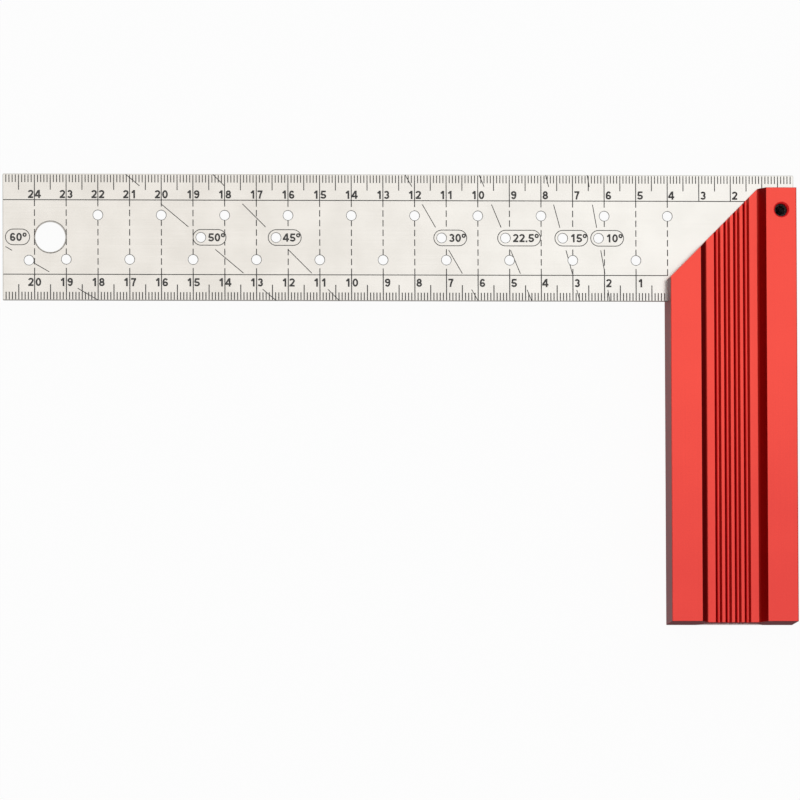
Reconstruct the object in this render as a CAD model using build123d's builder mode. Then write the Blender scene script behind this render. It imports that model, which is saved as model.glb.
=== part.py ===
from build123d import *
from math import atan2, degrees, radians, tan
import os

# A carpenter's square, in millimetres, lying flat with +Z up. The blade is seated on the floor of a saw slot
# in an extruded stock and pinched there by one set screw. The origin is the inside corner: x = 0 on the
# guide face, y = 0 on the blade's inner edge and z = 0 on the surface that the stock lies on.

# Blade, a strip of stainless steel
blade_length = 250.0
blade_width = 40.0
blade_thickness = 1.0
blade_corner_radius = 0.4
blade_edge_break = 0.15

# Holes of the blade
hanging_hole_diameter = 9.5
hanging_hole_bevel = 0.25  # on both faces
hanging_hole_inset = 15.0  # from the free end
marking_hole_diameter = 3.0
marking_row_inset = 13.0  # from each long edge
marking_hole_step = 20.0  # along a row; the row by the inner edge is shifted by half a step

# Every angle's ray starts at one point on the line of the guide face, just past the stock's end
ray_angles = (10.0, 15.0, 22.5, 30.0, 45.0, 50.0, 60.0)  # degrees from the guide face
ray_start_drop = 103.8  # below the blade's inner edge
ray_hole_margin = 8.25  # least distance of an angle's hole from the free end

# Stock, an extruded aluminium bar sawn to length
stock_width = 40.0
stock_thickness = 20.0
stock_length = 137.0
stock_rise = 35.5  # how far its mitred end stands above the blade's inner edge
mitre_leg = 28.3
edge_radius = 0.3
end_break = 0.15

# Section of the bar: two flat lands, and between them a web that is sunk on both faces and grooved for grip
land_width = 9.6
flank_width = 2.2
web_sink = 6.6
flank_foot_radius = 0.4
groove_count = 4
groove_pitch = 3.05
groove_width = 2.1
groove_floor_width = 0.65
groove_depth = 1.3

# Saw slot for the blade
slot_clearance = 0.05  # left on the screw's side

# Set screw in the outer land
screw_diameter = 4.9
screw_length = 5.0
screw_drop = 7.0  # below the mitred end
screw_clearance = 0.05  # all round, in its tapped hole
screw_top_chamfer = 0.4
socket_across_flats = 2.5
socket_depth = 2.5
point_diameter = 2.5
cup_diameter = 2.0
cup_depth = 0.6

overrun = 1.0  # how far a cut reaches past the face that it starts from

# Places that follow from the sizes above
blade_bottom = (stock_thickness - blade_thickness) / 2
blade_top = blade_bottom + blade_thickness
blade_reach = blade_length - stock_width
blade_mid_width = blade_width / 2
marking_hole_count = int(blade_reach // marking_hole_step)  # in each row
web_thickness = stock_thickness - 2 * web_sink
sunk_mouth_width = stock_width - 2 * land_width
flank_angle = degrees(atan2(web_sink, flank_width))
groove_angle = degrees(atan2(groove_depth, (groove_width - groove_floor_width) / 2))
screw_x = stock_width - land_width / 2
screw_y = stock_rise - screw_drop
screw_top = blade_top + screw_length


def ray_hole(angle):
    """A place on an angle's ray, at mid-width, or lower where the ray nears the free end before that."""
    slope = tan(radians(angle))
    y = min(blade_mid_width, (blade_reach - ray_hole_margin) / slope - ray_start_drop)
    return -(y + ray_start_drop) * slope, y


os.makedirs("parts", exist_ok=True)

# Stock: the bar's section is extruded along its length, then sawn to the mitre, slotted and drilled
with BuildPart() as stock:
    with BuildSketch(Plane.XZ.offset(-stock_rise)) as section:
        with Locations((stock_width / 2, stock_thickness / 2)):
            RectangleRounded(stock_width, stock_thickness, edge_radius)
            with PolarLocations(stock_thickness / 2, 2, start_angle=90):
                Trapezoid(
                    sunk_mouth_width,
                    web_sink,
                    flank_angle,
                    rotation=90,
                    align=(Align.CENTER, Align.MIN),
                    mode=Mode.SUBTRACT,
                )
        corners = section.vertices().sort_by_distance((stock_width / 2, stock_thickness / 2))
        fillet(corners[:4], flank_foot_radius)
        with Locations((stock_width / 2, stock_thickness / 2)):
            with PolarLocations(web_thickness / 2, 2, start_angle=90):
                with GridLocations(0, groove_pitch, 1, groove_count):
                    Trapezoid(
                        groove_width,
                        groove_depth,
                        groove_angle,
                        rotation=90,
                        align=(Align.CENTER, Align.MIN),
                        mode=Mode.SUBTRACT,
                    )
    extrude(amount=stock_length)
    chamfer(stock.faces().sort_by(Axis.Y)[0].edges(), end_break)
    split(bisect_by=Plane(origin=(mitre_leg, stock_rise, 0), z_dir=(-1, 1, 0)), keep=Keep.BOTTOM)
    with BuildSketch(Plane.XZ.offset(-stock_rise - overrun)):
        with Locations((stock_width / 2, blade_bottom)):
            slot_height = blade_thickness + slot_clearance
            Rectangle(stock_width + 2 * overrun, slot_height, align=(Align.CENTER, Align.MIN))
    extrude(amount=stock_rise + overrun, mode=Mode.SUBTRACT)
    with BuildSketch(Plane.XY.offset(blade_top)):
        with Locations((screw_x, screw_y)):
            Circle(screw_diameter / 2 + screw_clearance)
    extrude(amount=stock_thickness - blade_top + overrun, mode=Mode.SUBTRACT)
stock.part.label = "stock"
export_step(stock.part, "parts/stock.step")

# Blade: one flat strip with its hanging hole, two rows of marking holes and a hole on each angle's ray
outer_row = [(-marking_hole_step * i, blade_width - marking_row_inset) for i in range(marking_hole_count)]
inner_row = [(x - marking_hole_step / 2, marking_row_inset) for x, y in outer_row]
ray_holes = [ray_hole(angle) for angle in ray_angles]
with BuildPart() as blade:
    with BuildSketch(Plane.XY.offset(blade_bottom)):
        with Locations((-blade_reach, 0)):
            RectangleRounded(blade_length, blade_width, blade_corner_radius, align=Align.MIN)
    extrude(amount=blade_thickness)
    chamfer(blade.faces().filter_by(Axis.Z).edges(), blade_edge_break)
    with BuildSketch(Plane.XY.offset(blade_bottom - overrun)):
        with Locations((hanging_hole_inset - blade_reach, blade_mid_width)):
            Circle(hanging_hole_diameter / 2)
    extrude(amount=blade_thickness + 2 * overrun, mode=Mode.SUBTRACT)
    chamfer(blade.edges(Select.LAST).filter_by(GeomType.CIRCLE), hanging_hole_bevel)
    with BuildSketch(Plane.XY.offset(blade_bottom - overrun)):
        with Locations(*outer_row, *inner_row, *ray_holes):
            Circle(marking_hole_diameter / 2)
    extrude(amount=blade_thickness + 2 * overrun, mode=Mode.SUBTRACT)
blade.part.label = "blade"
export_step(blade.part, "parts/blade.step")

# Set screw: a hexagon socket in its sunk top, and a cupped point that bears on the blade
with BuildPart() as clamp_screw:
    with BuildSketch(Plane.XY.offset(blade_top)):
        with Locations((screw_x, screw_y)):
            Circle(screw_diameter / 2)
    extrude(amount=screw_length)
    chamfer(clamp_screw.faces().sort_by(Axis.Z)[-1].edges(), screw_top_chamfer)
    chamfer(clamp_screw.faces().sort_by(Axis.Z)[0].edges(), (screw_diameter - point_diameter) / 2)
    with BuildSketch(Plane.XY.offset(screw_top)):
        with Locations((screw_x, screw_y)):
            RegularPolygon(socket_across_flats / 2, 6, major_radius=False)
    extrude(amount=-socket_depth, mode=Mode.SUBTRACT)
    with Locations((screw_x, screw_y, blade_top)):
        cup_align = (Align.CENTER, Align.CENTER, Align.MIN)
        Cone(cup_diameter / 2, 0, cup_depth, align=cup_align, mode=Mode.SUBTRACT)
clamp_screw.part.label = "clamp_screw"
export_step(clamp_screw.part, "parts/clamp_screw.step")
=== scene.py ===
# %% [markdown]
# # A carpenter's square
# The three solids of this square come ready from CAD, in metres and in their right places: an aluminium stock,
# a steel blade and a small set screw. This lesson dresses them. It gives each solid its finish, puts the
# scales, figures and angle lines on the blade, and cuts the screw's thread. Sizes are written in millimetres,
# as a maker would say them, and times MM they are Blender's metres.

# %% Load the packed square
import math

import bmesh
import bpy
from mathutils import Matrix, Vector


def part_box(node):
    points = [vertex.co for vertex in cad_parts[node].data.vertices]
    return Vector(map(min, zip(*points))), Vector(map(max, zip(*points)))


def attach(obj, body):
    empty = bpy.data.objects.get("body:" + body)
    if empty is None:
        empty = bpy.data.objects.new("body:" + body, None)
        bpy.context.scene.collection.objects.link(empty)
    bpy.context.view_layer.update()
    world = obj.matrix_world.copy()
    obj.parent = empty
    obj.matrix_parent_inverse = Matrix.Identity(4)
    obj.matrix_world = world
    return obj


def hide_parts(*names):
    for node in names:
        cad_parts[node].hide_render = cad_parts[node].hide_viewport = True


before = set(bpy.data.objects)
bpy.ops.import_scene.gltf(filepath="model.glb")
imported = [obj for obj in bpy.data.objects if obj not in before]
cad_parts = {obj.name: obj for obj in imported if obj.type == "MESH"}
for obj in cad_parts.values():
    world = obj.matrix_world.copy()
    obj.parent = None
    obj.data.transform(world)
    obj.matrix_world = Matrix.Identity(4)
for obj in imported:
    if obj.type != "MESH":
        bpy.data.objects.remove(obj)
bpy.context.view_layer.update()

MM = 0.001


def box_mm(node):
    """The lowest and the highest corner of a solid, in millimetres."""
    return [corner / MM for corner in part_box(node)]


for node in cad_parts:
    print(node, "reaches from, to:", [[round(value, 2) for value in corner] for corner in box_mm(node)])

# %% [markdown]
# ## The view
# The square lies flat and is seen from almost straight above, from a little to the left and below, so a thin
# strip of the stock's inner side and of its sawn end shows. A long lens from six metres away keeps the
# edges nearly parallel. Place and turn were fitted to the centimetre marks, which lie at known places.

# %% Camera
camera_data = bpy.data.cameras.new("long_lens")
camera_data.sensor_width = 36.0
camera_data.lens = 861.35
camera_data.clip_end = 100.0


def add_object(name, data):
    """A new object at the origin, in the scene."""
    made = bpy.data.objects.new(name, data)
    bpy.context.scene.collection.objects.link(made)
    return made


camera = add_object("camera", camera_data)
camera.location = Vector((-594.16, -452.01, 6000.0)) * MM
camera.rotation_mode = "ZYX"
camera.rotation_euler = (0.07014, -0.08462, 0.00167)
bpy.context.scene.camera = camera
bpy.context.view_layer.update()

# %% Two corners in the image
image_width = 800  # pixels; the image is square


def pixel(x, y, z):
    """Where a point, in millimetres, comes out in the image."""
    seen = camera.matrix_world.inverted() @ (Vector((x, y, z)) * MM)
    scale = image_width * camera_data.lens / camera_data.sensor_width / -seen.z
    return round(image_width / 2 + scale * seen.x, 1), round(image_width / 2 - scale * seen.y, 1)


stock_low, stock_high = box_mm("stock")
blade_low, blade_high = box_mm("blade")
print("blade's free corner at", pixel(blade_low.x, blade_low.y, blade_high.z))
print("stock's lower corner at", pixel(stock_high.x, stock_low.y, stock_high.z))

# %% [markdown]
# ## A pencil for node trees
# Finishes and repeated shapes are both drawn with nodes, and adding nodes one by one is long-winded. This
# small class wraps one socket. Sums on it add Math nodes, so a mask can be written as 1 - edge, and one
# method adds any other node: its type, its settings, and a value or a wire for each of its sockets.


# %% Wire
class Wire:
    """A socket of a node tree that can be used in sums."""

    def __init__(self, tree, socket=None):
        self.tree = tree
        self.socket = socket

    def node(self, kind, settings=None, sockets=None, output=0):
        made = self.tree.nodes.new(kind)
        for name, value in (settings or {}).items():
            setattr(made, name, value)
        for key, value in (sockets or {}).items():
            if isinstance(value, Wire):
                self.tree.links.new(value.socket, made.inputs[key])
            else:
                made.inputs[key].default_value = value
        return Wire(self.tree, made.outputs[output] if made.outputs else None)

    def math(self, operation, *values):
        return self.node("ShaderNodeMath", {"operation": operation}, dict(enumerate(values)))

    def __add__(self, other):
        return self.math("ADD", self, other)

    def __sub__(self, other):
        return self.math("SUBTRACT", self, other)

    def __rsub__(self, other):
        return self.math("SUBTRACT", other, self)

    def __mul__(self, other):
        return self.math("MULTIPLY", self, other)

    def __mod__(self, other):
        return self.math("FLOORED_MODULO", self, other)

    def __or__(self, other):
        return self.math("MAXIMUM", self, other)

    def __abs__(self):
        return self.math("ABSOLUTE", self)

    __radd__ = __add__
    __rmul__ = __mul__

    def xyz(self):
        """The three numbers of a vector."""
        return [self.node("ShaderNodeSeparateXYZ", None, {0: self}, output=axis) for axis in "XYZ"]

    def rises(self, start, end):
        """From 0 at start to 1 at end, softly."""
        soft = {"interpolation_type": "SMOOTHSTEP"}
        return self.node("ShaderNodeMapRange", soft, {0: self, 1: start, 2: end})

    def between(self, low, high, soft):
        """1 between two values and 0 outside them, with soft edges on the inside."""
        return self.rises(low, low + soft) * (1 - self.rises(high - soft, high))

    def colours(self, low, high):
        """One colour where this is 0, another where it is 1."""
        return self.node("ShaderNodeMix", {"data_type": "RGBA"}, {0: self, 6: low, 7: high}, output=2)


print("Wire can", [name for name in vars(Wire) if not name.startswith("_")])


# %% Start and end of a finish
def new_finish(name):
    """A material with an empty tree, and a wire to draw it with."""
    material = bpy.data.materials.new(name)
    material.use_nodes = True
    material.node_tree.nodes.clear()
    return material, Wire(material.node_tree)


def place_mm(paint):
    """The place on a piece, as a vector in millimetres."""
    place = paint.node("ShaderNodeTexCoord", output="Object")
    return paint.node("ShaderNodeVectorMath", {"operation": "SCALE"}, {0: place, "Scale": 1 / MM})


def end_finish(material, shader):
    Wire(material.node_tree).node("ShaderNodeOutputMaterial", None, {0: shader})
    print(material.name, "has", len(material.node_tree.nodes), "nodes")


# %% [markdown]
# ## Floor and light
# A square is photographed on a white table under one large soft light. The floor here is white to the lens,
# and partly so to anything shiny, by Light Path. To the light it is an ordinary pale floor with a shadow, and
# under the stock, where the open end of its rear channel lets one look in, it shows as what it is. The light
# could be a few area lamps, but a dome alone is even and easy to tune: one bright patch, nearly overhead, and
# pale walls in front, behind and low all round. The sky to the left and right is dimmer, which leaves the
# steep walls of the bar's web dark.

# %% Floor finish
white_table, paint = new_finish("white_table")
seen_directly, seen_in_gloss, seen_through = (
    paint.node("ShaderNodeLightPath", output=ray)
    for ray in ("Is Camera Ray", "Is Glossy Ray", "Is Transmission Ray"))
table = paint.node("ShaderNodeBsdfDiffuse", None, {"Color": (0.86, 0.86, 0.86, 1)})
white = paint.node("ShaderNodeEmission", None, {"Color": (1, 1, 1, 1), "Strength": 1.0})
mitre_offset = 7.2  # y - x, the same all over the stock's mitred face
x, y, _ = place_mm(paint).xyz()
covered = x.between(stock_low.x, stock_high.x, 0.1) * y.between(stock_low.y, stock_high.y, 0.1)
covered = covered * (1 - (y - x).rises(mitre_offset - 0.2, mitre_offset - 0.1))
share = 0.95 * seen_directly * (1 - covered) | 0.45 * (seen_in_gloss | seen_through)
end_finish(white_table, paint.node("ShaderNodeMixShader", None, {0: share, 1: table, 2: white}))


# %% Floor
def as_object(name, shape, material=None):
    """Turn a bmesh into an object, and let it go."""
    mesh = bpy.data.meshes.new(name)
    shape.to_mesh(mesh)
    shape.free()
    if material:
        mesh.materials.append(material)
    return add_object(name, mesh)


floor_radius = 15.0  # metres
floor_drop = 0.02
disc = bmesh.new()
bmesh.ops.create_circle(disc, cap_ends=True, segments=96, radius=floor_radius)
bmesh.ops.translate(disc, verts=disc.verts, vec=(0, 0, -floor_drop * MM))
floor = as_object("floor", disc, white_table)
print(floor.name, "has a radius of", floor_radius, "m")

# %% Light dome
world = bpy.data.worlds.new("studio")
world.use_nodes = True
world.node_tree.nodes.clear()
bpy.context.scene.world = world
sky_level, patch_level, wall_level = 0.3, 1.1, 0.45
patch_direction = (-0.12, 0.06, 0.991)
dome = Wire(world.node_tree)
direction = dome.node("ShaderNodeTexCoord", output="Generated")  # in a world, the way that a ray looks
near_patch = dome.node("ShaderNodeVectorMath", {"operation": "DOT_PRODUCT"}, {
    0: direction, 1: patch_direction}, output="Value")
_, along, up = direction.xyz()
walls = abs(along).rises(0.3, 0.75) | 1 - up.rises(0.15, 0.45)
level = sky_level + patch_level * near_patch.rises(0.84, 0.98) + wall_level * walls
light = dome.node("ShaderNodeBackground", None, {"Color": (1, 1, 1, 1), "Strength": level})
dome.node("ShaderNodeOutputWorld", None, {0: light})
bpy.context.scene.view_settings.view_transform = "Standard"
print("dome", world.name, "goes from", sky_level, "at the sides to", sky_level + patch_level, "overhead")

# %% [markdown]
# ## Red anodised aluminium
# The stock is an extruded bar that was sawn and slotted first and then dyed red in its oxide skin, so it is
# red all over. Plain red paint would look flat. The skin keeps the metal's sheen, and a metallic shader gives
# that. Its tint is dark, because at a low angle light goes a long way through the dye. The bar's die leaves
# fine lines along it and the saw leaves lines across its ends. The skin is never quite even. Painted shade
# darkens the steep walls of the web, the left half of each groove and the sawn ends, and painted light makes
# the bar brighter towards its upper end. Masks made from the place on the bar tell these apart.


# %% Grain
def grain(place, stretch, detail=2.0):
    """Noise with so many waves to the millimetre along x, y and z."""
    stretched = place.node("ShaderNodeVectorMath", {"operation": "MULTIPLY"}, {0: place, 1: stretch})
    return place.node("ShaderNodeTexNoise", None, {"Vector": stretched, "Scale": 1.0, "Detail": detail})


# %% Sawn faces, and painted shade on the steep walls of the bar
anodised, paint = new_finish("red_anodised_bar")
place = place_mm(paint)
x, y, z = place.xyz()
sawn_end = 1 - y.rises(stock_low.y + 0.1, stock_low.y + 0.17)
sawn_top = y.rises(stock_high.y - 0.08, stock_high.y - 0.03)
sawn = sawn_end | sawn_top
mitre = (y - x).rises(mitre_offset - 0.1, mitre_offset - 0.04)

half_bar = (stock_high.z - stock_low.z) / 2
half_web = 3.4  # half of what is left of the bar between its two sunk faces
half_mouth = 10.4  # half the width of a sunk face at the top of its flanks
groove_pitch = 3.05
half_grooves = 2 * groove_pitch
from_middle = x - (stock_low.x + stock_high.x) / 2
off_middle = abs(from_middle)
off_plane = abs(z - (stock_low.z + stock_high.z) / 2)
# Painted shade: the web's steep flanks and, in every groove, its left wall and half its floor are painted deep
# red
flanks = off_plane.rises(half_web, half_web + 2.1) * (1 - off_plane.rises(half_bar - 0.2, half_bar - 0.05))
flanks = flanks * (1 - off_middle.rises(half_mouth - 0.1, half_mouth + 0.1))
along_pitch = from_middle % groove_pitch  # in every groove, its left wall and half of its floor
grooves = along_pitch.rises(0.42, 0.5) * (1 - along_pitch.rises(1.4, 1.65))
grooves = grooves * (1 - off_plane.rises(half_web - 0.2, half_web - 0.05))
grooves = grooves * (1 - off_middle.rises(half_grooves - 0.1, half_grooves + 0.1))
painted_shade = (flanks | grooves) * (1 - sawn)
print("masks for the web's half thickness of", half_web, "and grooves every", groove_pitch, "mm")

# %% Stock finish
dull_red, bright_red = (0.765, 0.066, 0.056, 1), (0.925, 0.09, 0.067, 1)
# Painted shade: the first is the deep red painted on the steep walls, the second the dark red painted on the
# sawn ends
painted_shade_red, sawn_shade_red = (0.53, 0.009, 0.010, 1), (0.25, 0.05, 0.05, 1)
clouds = grain(place, (0.05, 0.05, 0.05), 3.0)
speckle = grain(place, (2.2, 2.2, 2.2), 1.0)
die_lines = grain(place, (4.0, 0.012, 4.0), 3.0)
saw_lines = grain(place, (0.12, 0.12, 7.0), 3.0)
tool_lines = die_lines + sawn * (saw_lines - die_lines)
# Painted light: the bar is painted brighter from its lower end up towards the blade
painted_light_up = y.rises(stock_low.y, 0)
tone = (0.25 * clouds + 0.2 * die_lines + 0.2 * speckle + 0.35 * painted_light_up).rises(0.2, 0.8)
red = painted_shade.colours(tone.colours(dull_red, bright_red), painted_shade_red)
bump = paint.node("ShaderNodeBump", None, {"Strength": 0.08, "Distance": 0.02 * MM, "Height": tool_lines})
end_finish(anodised, paint.node("ShaderNodeBsdfPrincipled", None, {
    # the sawn ends take a darker red, painted shade
    "Base Color": sawn.colours(red, sawn_shade_red),
    "Metallic": 0.9 - 0.7 * mitre,
    "Specular Tint": (0.0, 0.38, 0.42, 1),
    "Roughness": 0.3 + 0.08 * tool_lines + 0.3 * sawn,
    "Normal": bump,
}))


def dress(node, material):
    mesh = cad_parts[node].data
    mesh.materials.clear()
    mesh.materials.append(material)
    print(node, "has the finish", material.name)


dress("stock", anodised)

# %% [markdown]
# ## Satin stainless steel
# The blade is rolled strip, ground to a fine satin along its length. Such a grain could be cut as grooves or
# drawn as lines, but it is far too fine to see from here, so it shows as a soft sheen with faint clouds. The
# steel is painted a little paler towards the stock, a painted highlight for the light it reflects there. The
# inner edge was broken with a stone, and the dark line painted along it is painted shade for that edge.

# %% Blade finish
satin, paint = new_finish("satin_stainless")
place = place_mm(paint)
x, y, _ = place.xyz()
clouds = grain(place, (0.09, 0.09, 0.09), 3.0)
lines = grain(place, (0.03, 9.0, 9.0), 2.0)
tone = (0.6 * clouds + 0.4 * lines).rises(0.3, 0.7)
# Painted highlight: the steel is painted paler towards the stock
painted_dim_steel = tone.colours((0.605, 0.575, 0.53, 1), (0.67, 0.64, 0.595, 1))
painted_bright_steel = tone.colours((0.69, 0.67, 0.63, 1), (0.745, 0.725, 0.685, 1))
steel = x.rises(-160, 20).colours(painted_dim_steel, painted_bright_steel)
# Painted shade: a dark line along the blade's inner edge
painted_edge_shade = 0.8 * (1 - y.rises(0.2, 0.4))
bump = paint.node("ShaderNodeBump", None, {"Strength": 0.05, "Distance": 0.01 * MM, "Height": lines})
end_finish(satin, paint.node("ShaderNodeBsdfPrincipled", None, {
    "Base Color": painted_edge_shade.colours(steel, (0.2, 0.19, 0.18, 1)),
    "Metallic": 0.9,
    "Roughness": 0.13 + 0.06 * lines,
    "Normal": bump,
}))
dress("blade", satin)

# %% [markdown]
# ## Etched marks
# The scales are etched a few hundredths of a millimetre deep and dark. Marks could be painted in the blade's
# material, but as thin pieces of their own they stay sharp at any distance and go along in an exported model.
# Each one is a sliver that is sunk in the steel and stands 15 thousandths proud, less than a film of ink.

# %% Mark finish
etched, paint = new_finish("dark_etch")
patches = grain(place_mm(paint), (1.5, 1.5, 1.5), 2.0)
end_finish(etched, paint.node("ShaderNodeBsdfPrincipled", None, {
    "Base Color": patches.rises(0.3, 0.7).colours((0.05, 0.05, 0.05, 1), (0.1, 0.098, 0.095, 1)),
    "Metallic": 0.2,
    "Roughness": 0.5 + 0.2 * patches,
}))
proud = 0.015
sunk = 0.02
mark_depth = proud + sunk
mark_middle = blade_high.z + (proud - sunk) / 2
print("marks reach from", round(mark_middle - mark_depth / 2, 3), "to", round(mark_middle + mark_depth / 2, 3))

# %% [markdown]
# ## From a node tree to a plain mesh
# Marks repeat or follow paths, and Geometry Nodes make both from a few sizes. Each tree below has named inputs
# for its sizes, and ends by turning its copies into real mesh and giving them their finish. A modifier runs
# the tree on an object. Its result is then kept as the object's own mesh, so nothing live is left in it.


# %% Start and end of a tree
def new_tree(name, inputs):
    """A Geometry Nodes tree with named inputs, as a drawing wire and a wire for each input."""
    tree = bpy.data.node_groups.new(name, "GeometryNodeTree")
    for label, kind in inputs.items():
        tree.interface.new_socket(label, in_out="INPUT", socket_type="NodeSocket" + kind)
    tree.interface.new_socket("Geometry", in_out="OUTPUT", socket_type="NodeSocketGeometry")
    start = tree.nodes.new("NodeGroupInput")
    return Wire(tree), {label: Wire(tree, start.outputs[label]) for label in inputs}


def end_tree(drawing, shape, material):
    shape = drawing.node("GeometryNodeRealizeInstances", None, {0: shape})
    shape = drawing.node("GeometryNodeSetMaterial", None, {0: shape, "Material": material})
    drawing.node("NodeGroupOutput", None, {0: shape})
    print(drawing.tree.name, "has", len(drawing.tree.nodes), "nodes")


# %% Running a tree
def harden(piece):
    """Take what an object's modifiers make as its own mesh, and remove them."""
    evaluated = piece.evaluated_get(bpy.context.evaluated_depsgraph_get())
    mesh = bpy.data.meshes.new_from_object(evaluated)
    piece.modifiers.clear()
    piece.data = mesh


def grow(name, drawing, values, mesh=None):
    """Run a tree on a new object and keep the result as a plain mesh."""
    piece = add_object(name, mesh or bpy.data.meshes.new(name))
    modifier = piece.modifiers.new("grow", "NODES")
    modifier.node_group = drawing.tree
    for item in drawing.tree.interface.items_tree:
        if item.in_out == "INPUT" and item.name in values:
            modifier[item.identifier] = values[item.name]
    harden(piece)
    return piece


def on_blade(piece):
    """The marks ride with the blade."""
    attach(piece, "square")
    print(piece.name, "has", len(piece.data.polygons), "faces")


# %% [markdown]
# ## Two scales
# The outer edge is measured from the stock's outer side, the inner edge from the guide face. Every tick is a
# unit cube set on a row of points. The tree counts along the row: each tenth tick is longest, each fifth one
# is of middle length. That way one row makes a whole scale, where copying ticks by hand would take three. The
# tick at zero would lie on the edge, so it is left out, and all ticks start just inside the broken edge.

# %% Scale tree
scale_tree, take = new_tree("tick_scale", {
    "Zero": "Vector", "Step": "Vector", "Count": "Int", "Inwards": "Float", "Width": "Float", "Depth": "Float",
    "Millimetre": "Float", "Half": "Float", "Centimetre": "Float", "Material": "Material",
})
index = scale_tree.node("GeometryNodeInputIndex")


def either(condition, yes, no):
    return condition.node("GeometryNodeSwitch", {"input_type": "FLOAT"}, {0: condition, 1: no, 2: yes})


def every(count):
    place_in_turn = index % count
    return index.node("FunctionNodeCompare", {"operation": "LESS_THAN"}, {0: place_in_turn, 1: 0.5})


length = either(every(10), take["Centimetre"], either(every(5), take["Half"], take["Millimetre"]))
row = scale_tree.node("GeometryNodeMeshLine", None, {
    "Count": take["Count"], "Start Location": take["Zero"], "Offset": take["Step"]})
shift = scale_tree.node("ShaderNodeCombineXYZ", None, {"Y": length * take["Inwards"] * 0.5})
row = scale_tree.node("GeometryNodeSetPosition", None, {0: row, "Offset": shift})
size = scale_tree.node("ShaderNodeCombineXYZ", None, {"X": take["Width"], "Y": length, "Z": take["Depth"]})
tick = scale_tree.node("GeometryNodeMeshCube", None, {"Size": (1, 1, 1)})
after_zero = scale_tree.node("FunctionNodeCompare", {"operation": "GREATER_THAN"}, {0: index, 1: 0.5})
ticks = scale_tree.node("GeometryNodeInstanceOnPoints", None, {
    0: row, "Selection": after_zero, "Instance": tick, "Scale": size})
end_tree(scale_tree, ticks, take["Material"])

# %% Outer and inner scale
line_width = 0.28
line_inset = 8.25  # of the long lines, from the blade's edges
edge_break = 0.15
tick_start = edge_break + 0.15  # from the blade's edge
millimetre_end, half_end = 2.7, 5.1  # how far the shorter ticks reach from the edge
tick_sizes = {
    "Step": (-1 * MM, 0, 0), "Depth": mark_depth * MM, "Material": etched,
    "Millimetre": (millimetre_end - tick_start) * MM, "Half": (half_end - tick_start) * MM,
    "Centimetre": (line_inset - tick_start) * MM,
}
outer_scale = grow("outer_scale", scale_tree, tick_sizes | {
    "Zero": Vector((blade_high.x, blade_high.y - tick_start, mark_middle)) * MM,
    "Count": round(blade_high.x - blade_low.x), "Inwards": -1.0, "Width": 1.08 * line_width * MM})
inner_scale = grow("inner_scale", scale_tree, tick_sizes | {
    "Zero": Vector((0, blade_low.y + tick_start, mark_middle)) * MM,
    "Count": round(-blade_low.x), "Inwards": 1.0, "Width": 1.2 * line_width * MM})
on_blade(outer_scale)
on_blade(inner_scale)

# %% [markdown]
# ## Lines that follow a path
# Two long lines bound the scales, rays leave the corner of the stock at the usual angles, and each angle's
# name stands in a rounded frame. Each could be modelled in its own way, but they are all one thing: a flat
# line that follows a path. The paths are drawn as bare edges, and one tree sweeps a small rectangle along
# them and joins what overlaps. The holes were cut with heat. The thin dark ring of the same kind round each
# hole is painted shade, for the hole's wall.

# %% Line tree
line_tree, take = new_tree("etched_line", {
    "Paths": "Geometry", "Width": "Float", "Depth": "Float", "Material": "Material"})
path = line_tree.node("GeometryNodeMeshToCurve", None, {0: take["Paths"]})
path = line_tree.node("GeometryNodeSetCurveNormal", {"mode": "Z_UP"}, {0: path})
section = line_tree.node("GeometryNodeCurvePrimitiveQuadrilateral", None, {
    "Width": take["Width"], "Height": take["Depth"]})
swept = line_tree.node("GeometryNodeCurveToMesh", None, {0: path, 1: section, "Fill Caps": True})
joined = line_tree.node("GeometryNodeMeshBoolean", {"operation": "UNION", "solver": "EXACT"}, {
    "Mesh 2": swept, "Self Intersection": True})
end_tree(line_tree, joined, take["Material"])


def etch_paths(name, paths, width):
    """Sweep a line of some width along paths, lists of x and y in millimetres. A path that ends where it
    starts is closed."""
    points, edges = [], []
    for path in paths:
        closed = path[0] == path[-1]
        first = len(points)
        points += [(x * MM, y * MM, mark_middle * MM) for x, y in (path[:-1] if closed else path)]
        edges += [(i, i + 1) for i in range(first, len(points) - 1)]
        edges += [(len(points) - 1, first)] if closed else []
    mesh = bpy.data.meshes.new(name)
    mesh.from_pydata(points, edges, [])
    return grow(name, line_tree, {"Width": width * MM, "Depth": mark_depth * MM, "Material": etched}, mesh)


# %% Long lines
free_end = blade_low.x + edge_break
under_stock = 29.5
upper_line = blade_high.y - line_inset
lower_line = blade_low.y + line_inset
scale_lines = etch_paths("scale_lines", [
    [(free_end, upper_line), (under_stock, upper_line)],
    [(free_end, lower_line), (0.0, lower_line)],
], line_width)
on_blade(scale_lines)

# %% Cutting marks to the steel
hair = 0.001  # closer than this, two corners count as one
steel_block = bmesh.new()
steel_block.from_mesh(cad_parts["blade"].data)
bmesh.ops.remove_doubles(steel_block, verts=steel_block.verts, dist=hair * MM)
bmesh.ops.translate(steel_block, verts=steel_block.verts, vec=(0, 0, proud * MM))
steel_outline = as_object("steel_outline", steel_block)


def cut(piece, operation, other):
    """Cut marks with another object, and clean up the slivers that are left."""
    knife = piece.modifiers.new("knife", "BOOLEAN")
    knife.operation = operation
    knife.solver = "MANIFOLD"
    knife.object = other
    harden(piece)
    shape = bmesh.new()
    shape.from_mesh(piece.data)
    bmesh.ops.dissolve_degenerate(shape, dist=hair * MM, edges=shape.edges)
    shape.to_mesh(piece.data)
    shape.free()
    piece.data.materials.clear()
    piece.data.materials.append(etched)


print("the steel's outline has", len(steel_outline.data.polygons), "faces")

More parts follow.
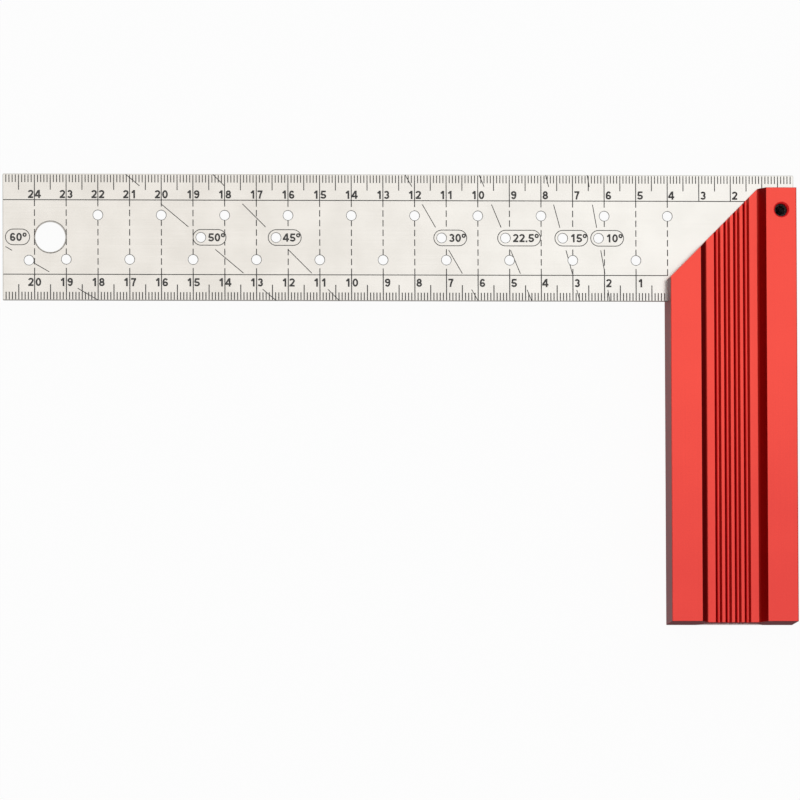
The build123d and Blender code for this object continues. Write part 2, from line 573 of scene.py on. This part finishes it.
# %% Rays
thin_line = 0.25
ray_drop = 103.8  # how far below the blade's inner edge all rays start
ray_angles = (10.0, 15.0, 22.5, 30.0, 45.0, 50.0, 60.0)
ray_bands = ((41.0, 36.2), (30.6, 23.3), (16.2, 8.75), (3.7, -1.0))  # where a ray is drawn, from y to y
steepest_bands = ((16.95, 15.75), (12.68, 9.0), (3.85, -1.0))


def on_ray(angle, y):
    return -(y + ray_drop) * math.tan(math.radians(angle)), y


rays = []
for angle in ray_angles:
    bands = steepest_bands if angle == ray_angles[-1] else ray_bands
    rays += [[on_ray(angle, top), on_ray(angle, bottom)] for top, bottom in bands]
angle_rays = etch_paths("angle_rays", rays, thin_line)
cut(angle_rays, "INTERSECT", steel_outline)
on_blade(angle_rays)

# %% Places of the holes
hole_step = 20.0
hole_count = 10
row_inset = 13.0
mid_width = 20.0
steepest_margin = 8.25  # of the last ray's hole, from the free end
outer_row = [(-hole_step * i, blade_high.y - row_inset) for i in range(hole_count)]
inner_row = [(-hole_step * i - hole_step / 2, blade_low.y + row_inset) for i in range(hole_count)]
ray_row = [on_ray(angle, mid_width) for angle in ray_angles[:-1]]
steepest_x = blade_low.x + steepest_margin
ray_row.append((steepest_x, -steepest_x / math.tan(math.radians(ray_angles[-1])) - ray_drop))
print(len(outer_row + inner_row + ray_row), "small holes")


# %% Painted shade round the holes
def ring_path(x, y, radius, points=32):
    turns = [2 * math.pi * i / points for i in range(points)]
    ring = [(x + radius * math.cos(turn), y + radius * math.sin(turn)) for turn in turns]
    return ring + ring[:1]


# Painted shade: a thin dark ring round every hole, for the hole's wall
hole_shade_width = 0.15
small_radius = 1.5
hanging_radius = 5.03  # with its bevel
hanging_inset = 15.0
hole_shade_paths = [ring_path(x, y, small_radius + hole_shade_width / 2) for x, y in outer_row + inner_row + ray_row]
hole_shade_paths.append(ring_path(blade_low.x + hanging_inset, mid_width, hanging_radius + hole_shade_width / 2, 64))
hole_shade_rims = etch_paths("hole_shade_rims", hole_shade_paths, hole_shade_width)
on_blade(hole_shade_rims)

# %% [markdown]
# ## Figures
# Rules carry bold, plain figures. A text object could make them, but it would bring in a typeface. Each one
# here is a few strokes of a broad pen, swept like the other lines, so a figure is drawn once and then set
# wherever it is needed, as a printer sets type.


# %% Strokes of the figures
def arc(x, y, width, height, start, end, steps=14):
    """Points on an ellipse between two angles, in degrees."""
    turns = [math.radians(start + (end - start) * i / steps) for i in range(steps + 1)]
    return [(round(x + width * math.cos(t), 6), round(y + height * math.sin(t), 6)) for t in turns]


DEGREE = "\u00b0"
six = [arc(0.39, 0.3, 0.235, 0.19, 0, 360, 24), arc(0.41, 0.5, 0.255, 0.39, 38, 180) + [(0.155, 0.3)]]
strokes = {
    "0": [arc(0.39, 0.5, 0.245, 0.39, 0, 360, 28)],
    "1": [[(0.5, 0.0), (0.5, 1.0)], [(0.18, 0.70), (0.31, 0.76), (0.42, 0.87), (0.47, 0.96)]],
    "2": [arc(0.385, 0.69, 0.25, 0.2, 168, -25) + [(0.47, 0.40), (0.18, 0.13)], [(0.05, 0.11), (0.72, 0.11)]],
    "3": [arc(0.37, 0.695, 0.22, 0.195, 160, -88), arc(0.37, 0.3, 0.245, 0.19, 88, -160)],
    "4": [[(0.5, 0.0), (0.5, 1.0)], [(-0.05, 0.3), (0.74, 0.3)], [(0.04, 0.33), (0.43, 0.92)]],
    "5": [[(0.17, 0.89), (0.71, 0.89)], [(0.23, 0.95), (0.14, 0.46)], arc(0.37, 0.31, 0.28, 0.2, 137, -160)],
    "6": six,
    "7": [[(0.07, 0.89), (0.71, 0.89)],
          [(0.63, 0.87), (0.51, 0.67), (0.42, 0.46), (0.36, 0.24), (0.33, 0.0)]],
    "8": [arc(0.39, 0.705, 0.205, 0.185, 0, 360, 24), arc(0.39, 0.3, 0.245, 0.19, 0, 360, 24)],
    "9": [[(round(0.78 - x, 6), round(1 - y, 6)) for x, y in stroke] for stroke in six],
    ".": [[(0.16, 0.0), (0.16, 0.22)]],
    DEGREE: [arc(0.29, 0.765, 0.18, 0.18, 0, 360, 20)],
}
print("drawn", "".join(strokes))

# %% Casting the figures
figure_width, figure_height = 2.5, 2.63
usual_pen, usual_pitch = 0.22, 0.78  # in figure widths
thin_pen = {DEGREE: 0.18}
narrow_pitch = {DEGREE: 0.56, ".": 0.34}


def cast(character):
    """One figure as a mesh, at its full size and depth, with its foot at the origin."""
    paths = [[(x * figure_width, y * figure_height) for x, y in stroke] for stroke in strokes[character]]
    piece = etch_paths("figure", paths, figure_width * thin_pen.get(character, usual_pen))
    mesh = piece.data
    bpy.data.objects.remove(piece)
    return mesh


type_case = {character: cast(character) for character in strokes}


def set_figures(name, lines, spacing):
    """Set lines of figures, each a text with the x and y of its foot in millimetres, as one piece."""
    page = bmesh.new()
    for text, x, y in lines:
        for character in text:
            before = len(page.verts)
            page.from_mesh(type_case[character])
            page.verts.ensure_lookup_table()
            bmesh.ops.translate(page, verts=page.verts[before:], vec=(x * MM, y * MM, 0))
            x += figure_width * narrow_pitch.get(character, usual_pitch) + spacing
    return as_object(name, page, etched)


print("cast with", sum(len(mesh.polygons) for mesh in type_case.values()), "faces in all")

# %% Numbers of both scales
number_spacing = 0.42
single_gap = 0.4
outer_foot, inner_foot = 32.25, 4.5


def beside_tick(number, x, y):
    """Two figures stand on both sides of their tick, a single one stands to its right."""
    if number < 10:
        return str(number), x + single_gap, y
    return str(number), x - usual_pitch * figure_width - number_spacing / 2, y


outer_numbers = [beside_tick(k, blade_high.x - 10 * k, outer_foot) for k in range(2, 25)]
inner_numbers = [beside_tick(k, -10 * k, inner_foot) for k in range(1, 21)]
scale_figures = set_figures("scale_figures", outer_numbers + inner_numbers, number_spacing)
on_blade(scale_figures)

# %% Angle labels
frame_height = 5.2
frame_radius = (frame_height - thin_line) / 2


def rounded_frame(left, length):
    """A frame with half-round ends that starts at x = left."""
    first = left + frame_height / 2
    last = left + length - frame_height / 2
    right_end = arc(last, mid_width, frame_radius, frame_radius, -90, 90)
    left_end = arc(first, mid_width, frame_radius, frame_radius, 90, 270)
    return right_end + left_end + right_end[:1]


label_foot = mid_width - figure_height / 2
short_frame, long_frame = 10.65, 13.8  # the long one is for an angle with a half
after_hole = 2.25
frames = [(-209.3, 7.9)]  # the steepest ray's label has no hole in it
angle_names = [("60" + DEGREE, -207.85, label_foot)]
for angle in ray_angles[:-1]:
    hole_x, _ = on_ray(angle, mid_width)
    angle_name = f"{angle:g}" + DEGREE
    frames.append((hole_x - frame_height / 2, long_frame if "." in angle_name else short_frame))
    angle_names.append((angle_name, hole_x + after_hole, label_foot))
angle_frames = etch_paths("angle_frames", [rounded_frame(*frame_place) for frame_place in frames], thin_line)
angle_figures = set_figures("angle_figures", angle_names, 0.05)
on_blade(angle_frames)
on_blade(angle_figures)

# %% [markdown]
# ## Dashed lines across the blade
# From each centimetre mark a dashed line crosses the blade, to carry a pencil from one scale to the other. A
# row of dashes stands on every point of a row of columns. The dashes stop at the holes and at the angle
# labels. Each dash could be given its own length for that, but it is simpler to cut them all: what the steel
# doesn't carry goes, and so does what a label covers.

# %% Dash tree
dash_tree, take = new_tree("dashed_lines", {
    "First": "Vector", "Column Step": "Vector", "Columns": "Int", "Dash Step": "Vector", "Dashes": "Int",
    "Dash": "Vector", "Material": "Material",
})
columns = dash_tree.node("GeometryNodeMeshLine", None, {
    "Count": take["Columns"], "Start Location": take["First"], "Offset": take["Column Step"]})
dashes = dash_tree.node("GeometryNodeMeshLine", None, {"Count": take["Dashes"], "Offset": take["Dash Step"]})
dash = dash_tree.node("GeometryNodeMeshCube", None, {"Size": take["Dash"]})
column = dash_tree.node("GeometryNodeInstanceOnPoints", None, {0: dashes, "Instance": dash})
lines = dash_tree.node("GeometryNodeInstanceOnPoints", None, {0: columns, "Instance": column})
end_tree(dash_tree, lines, take["Material"])

# %% Fields of the labels
fields = bmesh.new()
for frame_place in frames:
    corners = [Vector((x, y, mark_middle - mark_depth)) * MM for x, y in rounded_frame(*frame_place)[:-1]]
    field = fields.faces.new([fields.verts.new(corner) for corner in corners])
    grown = bmesh.ops.extrude_face_region(fields, geom=[field])["geom"]
    top = [part for part in grown if isinstance(part, bmesh.types.BMVert)]
    bmesh.ops.translate(fields, verts=top, vec=(0, 0, 2 * mark_depth * MM))
bmesh.ops.recalc_face_normals(fields, faces=fields.faces)
label_fields = as_object("label_fields", fields)
print(len(frames), "fields that stay free of dashes")

# %% Dashes
dash_length = 2.05
dash_count = 8
dash_step = (upper_line - lower_line - dash_length) / (dash_count - 1)
centimetre_dashes = grow("centimetre_dashes", dash_tree, {
    "First": Vector((0, upper_line - dash_length / 2, mark_middle)) * MM, "Column Step": (-10 * MM, 0, 0),
    "Columns": 21, "Dash Step": (0, -dash_step * MM, 0), "Dashes": dash_count,
    "Dash": Vector((1.1 * line_width, dash_length, mark_depth)) * MM, "Material": etched})
cut(centimetre_dashes, "INTERSECT", steel_outline)
cut(centimetre_dashes, "DIFFERENCE", label_fields)
bpy.data.objects.remove(label_fields)
bpy.data.objects.remove(steel_outline)
on_blade(centimetre_dashes)

# %% [markdown]
# ## The set screw
# One black set screw in the stock's outer land pinches the blade. It is a stud with a thread all along, a
# hexagon socket in its top and a cupped point. A Screw modifier could wind a thread round a plain stud, but
# the two would only lie in each other. Lofted ring by ring it is one closed skin: where a ring is on the
# thread, the radius goes out and in once in each turn, and one pitch further along the axis it is the same
# again. Above it the hole's own thread shows, a thin sleeve with the same turns, red like the stock.

# %% Black oxide
screw_low, screw_high = box_mm("clamp_screw")
screw_x = (screw_low.x + screw_high.x) / 2
screw_y = (screw_low.y + screw_high.y) / 2
black_oxide, paint = new_finish("black_oxide")
place = place_mm(paint)
x, y, z = place.xyz()
patches = grain(place, (3.0, 3.0, 3.0), 3.0)
off_axis = paint.node("ShaderNodeVectorMath", {"operation": "DISTANCE"}, {
    0: paint.node("ShaderNodeCombineXYZ", None, {0: x, 1: y}), 1: (screw_x, screw_y, 0)}, output="Value")
top_face = z.rises(screw_high.z - 0.06, screw_high.z - 0.01)
# Painted highlight: the rim of the socket's mouth is painted pale; the top face shows faint wear in patches
painted_rim_highlight = z.rises(screw_high.z - 0.25, screw_high.z - 0.15) * (1 - off_axis.rises(1.5, 1.65))
wear_and_highlight = (0.06 * top_face | 0.3 * painted_rim_highlight) * patches.rises(0.3, 0.6)
skin = patches.rises(0.3, 0.7).colours((0.012, 0.012, 0.013, 1), (0.03, 0.029, 0.03, 1))
end_finish(black_oxide, paint.node("ShaderNodeBsdfPrincipled", None, {
    "Base Color": wear_and_highlight.colours(skin, (0.3, 0.29, 0.28, 1)),
    "Metallic": 0.6,
    "Roughness": 0.3 + 0.15 * patches,
}))

# %% Rings round the screw's axis
around = 60
turns = [2 * math.pi * i / around for i in range(around)]
pitch = 0.8
thread_depth = 0.42
screw_radius = (screw_high.x - screw_low.x) / 2
root_radius = screw_radius - thread_depth


def ring(z, radii):
    """Points at one height, with a radius for each turn."""
    return [(screw_x + r * math.cos(t), screw_y + r * math.sin(t), z) for r, t in zip(radii, turns)]


def round_ring(z, radius):
    return ring(z, [radius] * around)


def hexagon_ring(z, across):
    """A hexagon that has as many points as the round rings, so that they can be joined."""
    sixth = math.pi / 3
    return ring(z, [across / 2 / math.cos((t + sixth / 2) % sixth - sixth / 2) for t in turns])


def thread_ring(z, cone, clearance=0.0):
    """A slice through the thread: a screw's stays within a cone, a hole's, which has clearance, outside it."""
    radii = []
    for i in range(around):
        along = (z / pitch - i / around) % 1.0
        swell = min(max((1 - abs(2 * along - 1) - 0.2) / 0.65, 0), 1)
        radius = root_radius + (screw_radius - root_radius) * swell + clearance
        radii.append(max(radius, cone) if clearance else min(radius, cone))
    return ring(z, radii)


print("thread from radius", round(root_radius, 2), "to", round(screw_radius, 2))


# %% Lofting rings
def heights(bottom, top, step=0.07):
    count = round((top - bottom) / step)
    return [bottom + (top - bottom) * i / count for i in range(count + 1)]


def loft(name, rings, material, body, closed=False):
    """Join each ring of points to the next, and the last to the first if closed. One point closes an end."""
    lathe = bmesh.new()
    made = [[lathe.verts.new(Vector(point) * MM) for point in points] for points in rings]
    for lower, upper in zip(made, made[1:] + made[:1] if closed else made[1:]):
        for i in range(around):
            below = [lower[i % len(lower)], lower[(i + 1) % len(lower)]]
            above = [upper[(i + 1) % len(upper)], upper[i % len(upper)]]
            lathe.faces.new(list(dict.fromkeys(below + above)))
    bmesh.ops.recalc_face_normals(lathe, faces=lathe.faces)
    piece = as_object(name, lathe, material)
    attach(piece, body)
    print(name, "has", len(piece.data.polygons), "faces")
    return piece


# %% Set screw
socket_across = 2.5
socket_depth = 2.5
mouth_bevel = 0.2
drill_point = 0.4
top_chamfer = 0.4
cup_radius, cup_depth = 1.0, 0.6
point_radius = 1.25
socket_floor = screw_high.z - socket_depth

# From the cup, up the threaded outside, over the top and down into the socket
rings = [[(screw_x, screw_y, screw_low.z + cup_depth)], round_ring(screw_low.z, cup_radius)]
for z in heights(screw_low.z, screw_high.z):
    point_cone = point_radius + z - screw_low.z
    top_cone = screw_radius - top_chamfer + screw_high.z - z
    rings.append(thread_ring(z, min(point_cone, top_cone, screw_radius)))
rings.append(hexagon_ring(screw_high.z, socket_across + 2 * mouth_bevel))
rings.append(hexagon_ring(screw_high.z - mouth_bevel, socket_across))
rings.append(hexagon_ring(socket_floor, socket_across))
rings.append([(screw_x, screw_y, socket_floor - drill_point)])
set_screw = loft("set_screw", rings, black_oxide, "screw")
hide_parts("clamp_screw")

# %% Finish of the hole's thread
dyed_thread, paint = new_finish("dyed_thread")
patches = grain(place_mm(paint), (2.0, 2.0, 2.0), 2.0)
end_finish(dyed_thread, paint.node("ShaderNodeBsdfPrincipled", None, {
    "Base Color": patches.rises(0.3, 0.7).colours((0.8, 0.014, 0.016, 1), (0.92, 0.02, 0.022, 1)),
    "Specular IOR Level": 0.1,
    "Roughness": 0.4 + 0.1 * patches,
}))

# %% Thread of the screw's hole
clearance = 0.05
sleeve_wall = 0.1
hole_radius = screw_radius + clearance
mouth = stock_high.z - 0.1  # just under the face of the land
sleeve_foot = screw_high.z + 0.15  # just clear of the screw
threads = [thread_ring(z, hole_radius - (mouth - z), clearance) for z in heights(sleeve_foot, mouth)]
sleeve = [round_ring(z, hole_radius + sleeve_wall) for z in (mouth, sleeve_foot)]
loft("tapped_thread", threads + sleeve, dyed_thread, "square", closed=True)

# %% [markdown]
# ## Size
# Dressing the square mustn't make it larger than its solids.
